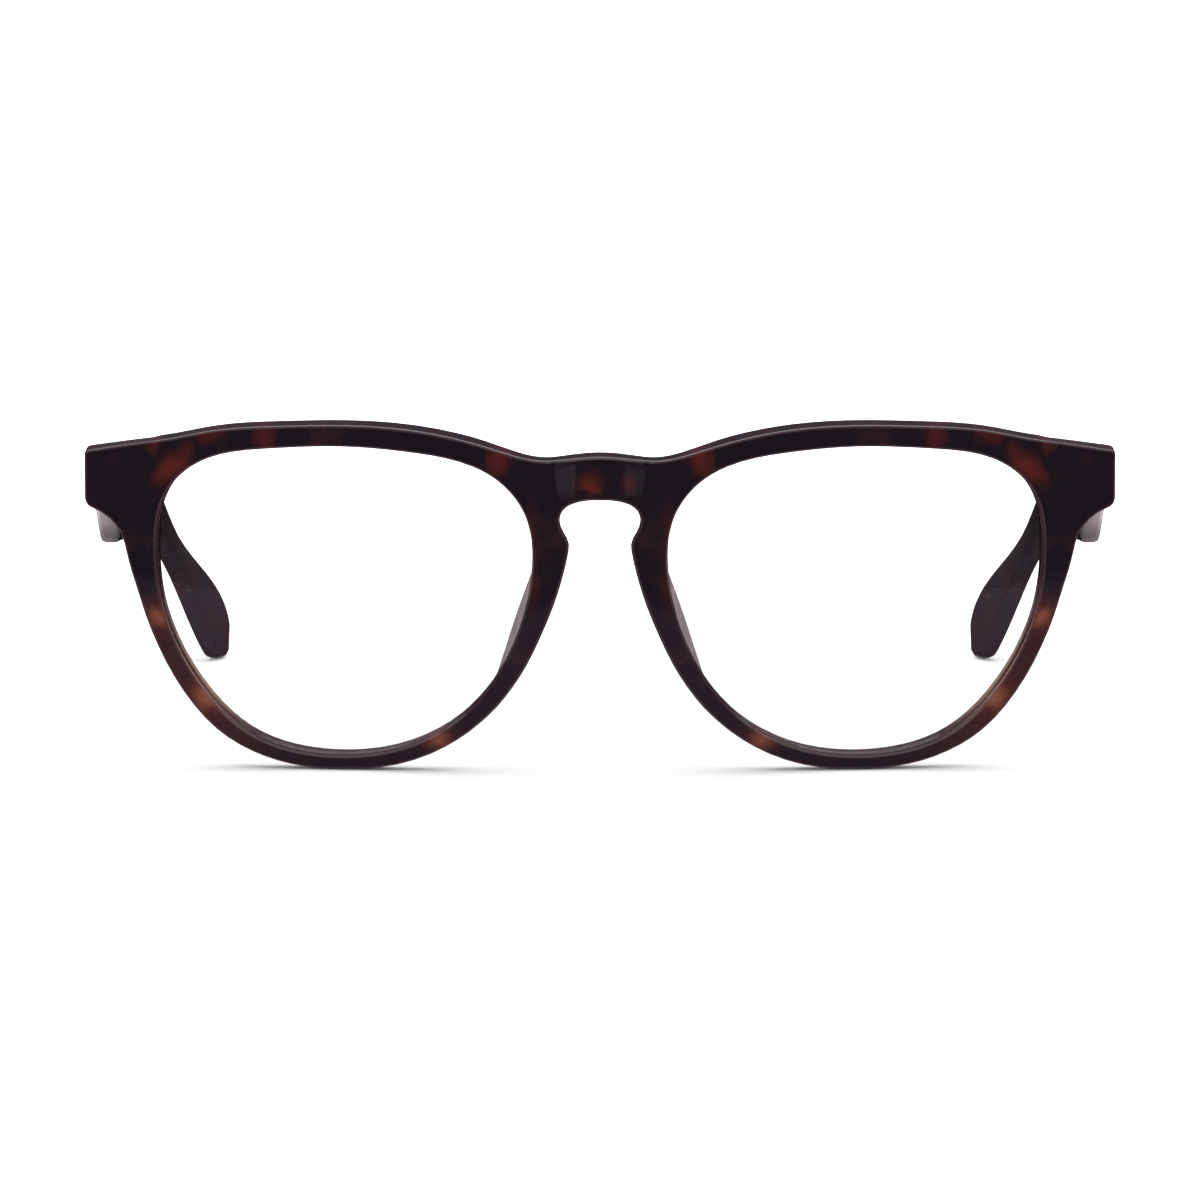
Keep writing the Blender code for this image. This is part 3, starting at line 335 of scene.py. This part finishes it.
def polish(finish, spot, roughness, depth):
    """Return the roughness and the faint ripple of hand-polished acetate."""
    grain = finish.noise(spot, 1.6, 4.0, 0.6)
    scuffs = finish.noise(finish.scaled(spot, (0.25, 1.0, 2.2)), 3.0, 2.0, 0.5)
    rough = roughness + (grain - 0.5) * 0.05 + finish.ease(scuffs, 0.64, 0.78, 0.0, 0.07)
    normal = finish.bump(finish.noise(spot, 0.35, 2.0, 0.5), 0.25, depth)
    return rough, normal


def front_sheet():
    """Make the dark mottled acetate of the front, with its red and amber patches."""
    finish = Finish("havana_front_sheet")
    spot = finish.place()
    x, y, z = finish.parts(spot)
    half = finish.vector(abs(x), y * 0.6, z)
    wander = finish.noise(half, WANDER_SCALE, 2.0, 0.5) - 0.5
    drift = finish.noise(finish.scaled(half, (1.0, 1.0, -1.0)), WANDER_SCALE, 2.0, 0.5) - 0.5
    across = abs(x) + wander * WANDER_REACH
    up = z + drift * WANDER_REACH
    cloud = finish.noise(half, 0.11, 3.0, 0.6, 0.7)
    warm = finish.ease(abs(x), 42.0, 52.0) * finish.ease(z, 26.0, 18.0) * (0.55 + cloud * 0.6)
    red = finish.ease(cloud, 0.60, 0.76, 0.0, 0.18)
    for outline in RED_PATCHES:
        red = red + patch(finish, across, up, outline)
    for outline in BRIDGE_PATCHES:
        red = red + patch(finish, x + wander, up, outline)
    amber = 0.0
    for outline in AMBER_PATCHES:
        amber = amber + patch(finish, across, up, outline)
    colour = finish.blend(finish.ease(cloud, 0.48, 0.66), NEAR_BLACK, SMOKY_BROWN)
    colour = finish.blend(warm, colour, WARM_BROWN)
    colour = finish.blend(finish.slope(red, 0.0, 1.0), colour, CHERRY_RED)
    colour = finish.blend(finish.slope(amber, 0.0, 1.0), colour, HONEY_AMBER)
    # Painted highlight: the forward-looking rounded edges are mixed half-way towards a lighter brown
    colour = finish.blend(finish.marked("painted_highlight_round") * 0.5, colour, EDGE_PAINTED_HIGHLIGHT)
    wall = finish.blend(patch(finish, across, up, PLUM_PATCH), WALL_DARK, WALL_PLUM)
    wall = finish.blend(patch(finish, across, up, RUSSET_PATCH), wall, WALL_RUSSET)
    wall = finish.blend(patch(finish, across, up, TAN_PATCH), wall, WALL_TAN)
    colour = finish.blend(finish.marked("wall"), colour, wall)
    rough, normal = polish(finish, spot, 0.10, 0.00005)
    finish.wear(Base_Color=colour, Roughness=rough, Normal=normal, IOR=1.48)
    return finish.material


def temple_sheet():
    """Make the satin dark acetate of the temples, with a painted reflection on the butts' cut face:
    pale above, in painted shade below.
    """
    finish = Finish("havana_temple_sheet")
    spot = finish.place()
    x, y, z = finish.parts(spot)
    half = finish.vector(abs(x) * 1.5, y * 0.7, z)
    cloud = finish.noise(half, 0.10, 3.0, 0.6, 0.8)
    colour = finish.blend(finish.ease(cloud, 0.46, 0.62), TEMPLE_DARK, TEMPLE_BROWN)
    colour = finish.blend(finish.ease(cloud, 0.60, 0.74, 0.0, 0.8), colour, TEMPLE_RED)
    island = finish.noise(half, 0.16, 2.0, 0.5, 0.5)
    mottled = finish.blend(finish.ease(island, 0.50, 0.64), OUTER_BLACK, OUTER_RED)
    mottled = finish.blend(finish.ease(island, 0.63, 0.76), mottled, OUTER_AMBER)
    outer = finish.marked("outer")
    colour = finish.blend(outer, colour, mottled)
    ahead = (y - HINGE_Y) * HINGE_ACROSS - (z - HINGE_Z) * HINGE_UP
    butt = finish.ease(ahead, BUTT_START, BUTT_FULL)
    # Painted light on each butt's cut face: a pale painted reflection at the top, fading to painted
    # shade at the bottom; only its greater roughness is the face's own
    sawn = finish.noise(finish.scaled(spot, (0.5, 1.0, 6.0)), 1.5, 3.0, 0.6)
    rise = finish.ease(z + (sawn - 0.5) * 1.5, BUTT_LOW, BUTT_HIGH)
    pale = finish.blend(rise, BUTT_PAINTED_SHADE, BUTT_PAINTED_LIGHT)
    colour = finish.blend(butt, colour, pale)
    rough, normal = polish(finish, spot, 0.28, 0.00004)
    finish.wear(Base_Color=colour, Roughness=rough + butt * 0.2 - outer * 0.17, Normal=normal)
    finish.wear(IOR=1.48, Specular_IOR_Level=0.33)
    return finish.material


def pad_acetate():
    """Make the paler, clearer acetate of the nose pads, whose grey-lilac is partly its own and partly
    a painted reflection.
    """
    finish = Finish("smoked_pad_with_painted_sheen")
    spot = finish.place()
    cloud = finish.noise(spot, 0.22, 3.0, 0.55)
    # The pale grey-lilac is partly the pad's own colour and partly a painted reflection of the bright
    # studio
    colour = finish.blend(finish.ease(cloud, 0.35, 0.7), (0.315, 0.265, 0.28), (0.41, 0.335, 0.36))
    rough = 0.22 + finish.noise(spot, 1.8, 3.0, 0.5) * 0.08
    normal = finish.bump(finish.noise(spot, 0.6, 2.0, 0.5), 0.2, 0.00004)
    finish.wear(Base_Color=colour, Roughness=rough, Normal=normal, IOR=1.48)
    return finish.material


def lens_glass():
    """Make the clear lens: only its mirror image shows, in the coating's faint tints."""
    finish = Finish("clear_coated_lens")
    spot = finish.place()
    haze = finish.noise(spot, 0.05, 2.0, 0.5)
    facing = finish.node("ShaderNodeLayerWeight", None, {"Blend": 0.5})[1]
    seen = finish.ease(haze, 0.3, 0.7, 0.028, 0.034) + facing ** 5.0 * 0.9
    colour = finish.blend(finish.ease(haze, 0.4, 0.6), (0.80, 0.95, 0.88), (0.86, 0.86, 0.98))
    rough = finish.noise(spot, 0.5, 2.0, 0.5) * 0.01
    finish.wear(Base_Color=colour, Metallic=1.0, Roughness=rough, Alpha=seen)
    return finish.material


def hinge_steel():
    """Make the brushed nickel steel of the hinge leaves."""
    finish = Finish("brushed_hinge_steel")
    spot = finish.place()
    brush = finish.noise(finish.scaled(spot, (1.0, 9.0, 1.0)), 2.2, 3.0, 0.6)
    stain = finish.noise(spot, 0.5, 3.0, 0.6)
    colour = finish.blend(stain, (0.50, 0.48, 0.45), (0.66, 0.645, 0.62))
    rough = 0.24 + brush * 0.16
    normal = finish.bump(brush, 0.25, 0.00002)
    finish.wear(Base_Color=colour, Metallic=1.0, Roughness=rough, Normal=normal)
    return finish.material


def screw_steel():
    """Make the turned and polished steel of the screws."""
    finish = Finish("turned_screw_steel")
    spot = finish.place()
    rings = finish.noise(finish.scaled(spot, (0.6, 0.6, 6.0)), 2.6, 2.0, 0.5)
    colour = finish.blend(rings, (0.62, 0.61, 0.59), (0.74, 0.73, 0.71))
    normal = finish.bump(rings, 0.2, 0.00001)
    finish.wear(Base_Color=colour, Metallic=1.0, Roughness=0.14 + rings * 0.12, Normal=normal)
    return finish.material


def core_wire_steel():
    """Make the drawn steel of the core wires."""
    finish = Finish("drawn_core_wire")
    spot = finish.place()
    draw = finish.noise(finish.scaled(spot, (3.0, 0.15, 3.0)), 2.0, 2.0, 0.5)
    colour = finish.blend(draw, (0.42, 0.41, 0.40), (0.60, 0.59, 0.58))
    finish.wear(Base_Color=colour, Metallic=1.0, Roughness=0.30 + draw * 0.12)
    return finish.material


# Pieces

def deselect():
    """Leave nothing selected."""
    bpy.ops.object.select_all(action="DESELECT")


def settle_creases(piece):
    """Keep the creases of the bridge's flanks crisp and soften the endpieces' rear corners."""
    shape = bmesh.new()
    shape.from_mesh(piece.data)
    for edge in shape.edges:
        middle = (edge.verts[0].co + edge.verts[1].co) / 2
        if len(edge.link_faces) != 2:
            continue
        if REAR_START < abs(middle.x) < REAR_END and middle.z > REAR_BOTTOM:
            behind = min(face.normal.y for face in edge.link_faces) > REAR_LOOK
            if behind and edge.calc_face_angle() < math.radians(REAR_ANGLE):
                edge.smooth = True
        if abs(middle.x) > FLANK_REACH or middle.z < FLANK_BOTTOM:
            continue
        ahead = max(face.normal.y for face in edge.link_faces) < FLANK_LOOK
        if ahead and edge.calc_face_angle() > math.radians(FLANK_ANGLE):
            edge.smooth = False
    shape.to_mesh(piece.data)
    shape.free()


def merged_copy(node, name, material, settle=None):
    """Copy a CAD node's mesh as one closed skin, smooth over all but its sharp edges."""
    source = frame["nodes"][node]
    piece = bpy.data.objects.new(name, source.data.copy())
    bpy.context.scene.collection.objects.link(piece)
    deselect()
    piece.select_set(True)
    bpy.context.view_layer.objects.active = piece
    bpy.ops.mesh.customdata_custom_splitnormals_clear()
    bpy.ops.object.mode_set(mode="EDIT")
    bpy.ops.mesh.select_all(action="SELECT")
    bpy.ops.mesh.mark_sharp(clear=True)
    bpy.ops.mesh.remove_doubles(threshold=MERGE_DISTANCE)
    face_limit = math.radians(QUAD_FACE_ANGLE)
    shape_limit = math.radians(QUAD_SHAPE_ANGLE)
    bpy.ops.mesh.tris_convert_to_quads(face_threshold=face_limit, shape_threshold=shape_limit)
    bpy.ops.object.mode_set(mode="OBJECT")
    bpy.ops.object.shade_smooth_by_angle(angle=math.radians(CREASE_ANGLE))
    if settle:
        settle(piece)
    weighted = piece.modifiers.new("flat_faces", "WEIGHTED_NORMAL")
    weighted.keep_sharp = True
    weighted.weight = FLAT_WEIGHT
    bpy.ops.object.modifier_apply(modifier=weighted.name)
    piece.data.materials.clear()
    piece.data.materials.append(material)
    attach(piece, source["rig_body"])
    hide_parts(node)
    return piece


def mark_faces(piece, name, belongs):
    """Give each face a one under a name where it belongs, and a zero elsewhere."""
    marks = piece.data.attributes.new(name, "FLOAT", "FACE")
    for face in piece.data.polygons:
        marks.data[face.index].value = 1.0 if belongs(face) else 0.0


def on_front_round(face):
    """Tell whether a face is part of the rounded front edges."""
    return ROUND_FIRST < face.normal.y < ROUND_LAST


def on_outer_face(face):
    """Tell whether a face of a temple looks away from the head."""
    return abs(face.normal.x) > OUTER_LOOK and face.normal.x * face.center.x > 0


def on_lens_wall(face):
    """Tell whether a face is part of the wall around a lens."""
    if abs(face.normal.y) > WALL_LOOK:
        return False
    for middle in lens_middles:
        inward = middle - face.center
        inward.y = 0.0
        if inward.length < WALL_REACH and inward.normalized().dot(face.normal) > WALL_AIM:
            return True
    return False


acetate = front_sheet()
temple_acetate = temple_sheet()
pad_finish = pad_acetate()
glass = lens_glass()
steel = hinge_steel()
bright_steel = screw_steel()
wire_steel = core_wire_steel()

lens_middles = [sum(map(Vector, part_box(side + "_lens")), Vector()) / 2 for side in ("left", "right")]
front = merged_copy("front_frame", "polished_front", acetate, settle_creases)
# The forward-looking rounds are marked for the front's painted highlight
mark_faces(front, "painted_highlight_round", on_front_round)
mark_faces(front, "wall", on_lens_wall)
for side in ("left", "right"):
    merged_copy(side + "_lens", side + "_clear_lens", glass)
    merged_copy(side + "_nose_pad", side + "_glued_pad", pad_finish)
    temple = merged_copy(side + "_temple", side + "_polished_temple", temple_acetate)
    mark_faces(temple, "outer", on_outer_face)
    merged_copy(side + "_front_hinge", side + "_three_barrel_leaf", steel)
    merged_copy(side + "_temple_hinge", side + "_two_barrel_leaf", steel)
    merged_copy(side + "_hinge_screw", side + "_slotted_screw", bright_steel)
    core = frame["nodes"][side + "_temple_core"]
    core.data.materials.clear()
    core.data.materials.append(wire_steel)


# Studio

def seen_white(name, colour, near_glow):
    """Make a matt white that glows by itself, more with the distance from the glasses."""
    finish = Finish(name)
    x, y, z = finish.parts(finish.node("ShaderNodeTexCoord")[3])
    away = (x * x + (y - FRONT_LINE) * (y - FRONT_LINE)) ** 0.5
    path = finish.node("ShaderNodeLightPath")
    seen = path[CAMERA_RAY] + path[GLOSSY_RAY] + path[TRANSMISSION_RAY]
    looks = finish.node("ShaderNodeMath", {"operation": "MINIMUM"}, {0: seen, 1: 1.0})[0]
    glow = looks * finish.ease(away, GLOW_START, GLOW_FULL, near_glow, 1.0)
    shine = finish.blend(glow, (0.0, 0.0, 0.0), (1.0, 1.0, 1.0))
    finish.wear(Base_Color=colour, Roughness=1.0, Specular_IOR_Level=0.0)
    finish.wear(Emission_Color=shine, Emission_Strength=1.0)
    return finish.material


def card_finish(name, colour):
    """Make a card of one exact brightness."""
    finish = Finish(name)
    finish.wear(Base_Color=(0.0, 0.0, 0.0), Roughness=1.0, Specular_IOR_Level=0.0)
    finish.wear(Emission_Color=colour, Emission_Strength=1.0)
    return finish.material


def stage_plane(name, centre, size, material, tilt=0.0, around=0.0):
    """Add a plane of the studio, with its place in its mesh."""
    deselect()
    bpy.ops.mesh.primitive_plane_add(size=1.0, location=centre, rotation=(tilt, 0.0, around))
    plane = bpy.context.object
    plane.name = name
    plane.scale = (size[0], size[1], 1.0)
    bpy.ops.object.transform_apply()
    plane.data.materials.append(material)
    return plane


def card(name, centre, size, material, tilt=0.0, around=0.0):
    """Add a card that only polished surfaces mirror."""
    plane = stage_plane(name, centre, size, material, tilt, around)
    plane.visible_camera = False
    plane.visible_diffuse = False
    plane.visible_shadow = False
    plane.visible_transmission = False


def area_lamp(name, centre, target, size, power, mirrored=True):
    """Add a soft rectangular lamp aimed at a point."""
    data = bpy.data.lights.new(name, "AREA")
    data.shape = "RECTANGLE"
    data.size = size[0]
    data.size_y = size[1]
    data.energy = power
    lamp = bpy.data.objects.new(name, data)
    lamp.location = centre
    aim = Vector(target) - Vector(centre)
    lamp.rotation_euler = aim.to_track_quat("-Z", "Y").to_euler()
    lamp.visible_camera = False
    lamp.visible_glossy = mirrored
    bpy.context.scene.collection.objects.link(lamp)


floor_white = seen_white("white_floor", (0.96, 0.96, 0.96), NEAR_GLOW_FLOOR)
backdrop_white = seen_white("white_backdrop", (0.80, 0.80, 0.80), NEAR_GLOW_BACKDROP)
stage_plane("studio_floor", (0, 0, 0), (FLOOR_SIZE, FLOOR_SIZE), floor_white)
backdrop_middle = (0, BACKDROP_Y, BACKDROP_HEIGHT / 2)
backdrop_size = (FLOOR_SIZE, BACKDROP_HEIGHT)
stage_plane("studio_backdrop", backdrop_middle, backdrop_size, backdrop_white, UPRIGHT)

black = card_finish("black_card", (0.004, 0.004, 0.004))
smoke = card_finish("smoke_card", (0.11, 0.080, 0.10))
lilac = card_finish("lilac_card", (0.25, 0.15, 0.20))
flank_grey = card_finish("grey_flank_card", (0.48, 0.43, 0.46))
flank_shade = card_finish("shaded_flank_card", (0.30, 0.27, 0.29))
ceiling_white = card_finish("bright_ceiling_card", (3.2, 3.0, 3.2))
card("front_floor_card", (0, -0.7325, CARD_LIFT), (2.6, 1.214), black)
card("left_side_card", (0.37, -0.10, CARD_LIFT), (0.50, 0.051), black)
card("right_side_card", (-0.37, -0.10, CARD_LIFT), (0.50, 0.051), black)
card("middle_back_card", (0, 0.575, CARD_LIFT), (0.22, 1.25), black)
card("left_back_card", (0.705, 0.70, CARD_LIFT), (1.19, 1.0), black)
card("right_back_card", (-0.705, 0.70, CARD_LIFT), (1.19, 1.0), black)
card("camera_card", (0, -1.35, 0.5), (2.6, 1.0), black, UPRIGHT)
card("back_card", (0, 1.1, 0.36), (2.6, 0.72), smoke, UPRIGHT)
card("left_card", (1.25, -0.1, 0.36), (2.4, 0.72), black, UPRIGHT, UPRIGHT)
card("right_card", (-1.25, -0.1, 0.36), (2.4, 0.72), black, UPRIGHT, UPRIGHT)
card("near_card", (0, -0.0930, NEAR_LIFT), (0.24, 0.065), lilac)
card("left_flank_card", (0.150, -0.43, FLANK_LIFT), (0.13, 0.30), flank_shade)
card("right_flank_card", (-0.150, -0.43, FLANK_LIFT), (0.13, 0.30), flank_grey)
card("ceiling_card", (0, 0.0, 0.80), (1.0, 0.8), ceiling_white)

area_lamp("ceiling_softbox", (0, 0.10, 0.90), (0, 0.10, 0), (2.0, 1.8), 18.0, False)
area_lamp("back_softbox", (0, 0.95, 0.40), (0, -0.05, 0), (1.8, 0.4), 4.0, False)
area_lamp("front_fill", (0, -1.1, 0.34), (0, -0.05, 0.02), (1.0, 0.3), 3.0, False)
area_lamp("left_fill", (0.95, 0.1, 0.55), (0, 0, 0.03), (0.5, 0.5), 0.9)
area_lamp("right_fill", (-0.95, 0.1, 0.55), (0, 0, 0.03), (0.5, 0.5), 0.9)


def white_air(seen, lit):
    """Make a world that lights softly and looks white wherever it shows or is mirrored."""
    world = bpy.data.worlds.new("studio_air")
    bpy.context.scene.world = world
    world.use_nodes = True
    tree = world.node_tree
    background = tree.nodes["Background"]
    background.inputs["Color"].default_value = (1.0, 1.0, 1.0, 1.0)
    path = tree.nodes.new("ShaderNodeLightPath")
    strength = tree.nodes.new("ShaderNodeMapRange")
    strength.inputs["To Min"].default_value = lit
    strength.inputs["To Max"].default_value = seen
    looks = path.outputs[CAMERA_RAY]
    for ray in (GLOSSY_RAY, TRANSMISSION_RAY):
        larger = tree.nodes.new("ShaderNodeMath")
        larger.operation = "MAXIMUM"
        tree.links.new(looks, larger.inputs[0])
        tree.links.new(path.outputs[ray], larger.inputs[1])
        looks = larger.outputs[0]
    tree.links.new(looks, strength.inputs["Value"])
    tree.links.new(strength.outputs[0], background.inputs["Strength"])


white_air(AIR_SEEN, AIR_LIT)


# Camera

view_point = Vector(VIEW_POINT)
pitch = math.radians(VIEW_PITCH)
camera_data = bpy.data.cameras.new("photo_camera")
camera_data.lens = VIEW_LENS
camera_data.sensor_width = SENSOR_WIDTH
camera_data.sensor_fit = "HORIZONTAL"
camera_data.clip_start = 0.01
camera = bpy.data.objects.new("photo_camera", camera_data)
camera.location = view_point + VIEW_DISTANCE * Vector((0, -math.cos(pitch), math.sin(pitch)))
camera.rotation_euler = (math.pi / 2 - pitch, 0.0, 0.0)
bpy.context.scene.collection.objects.link(camera)
bpy.context.scene.camera = camera

bpy.context.scene.view_settings.view_transform = "Standard"

bpy.context.view_layer.update()
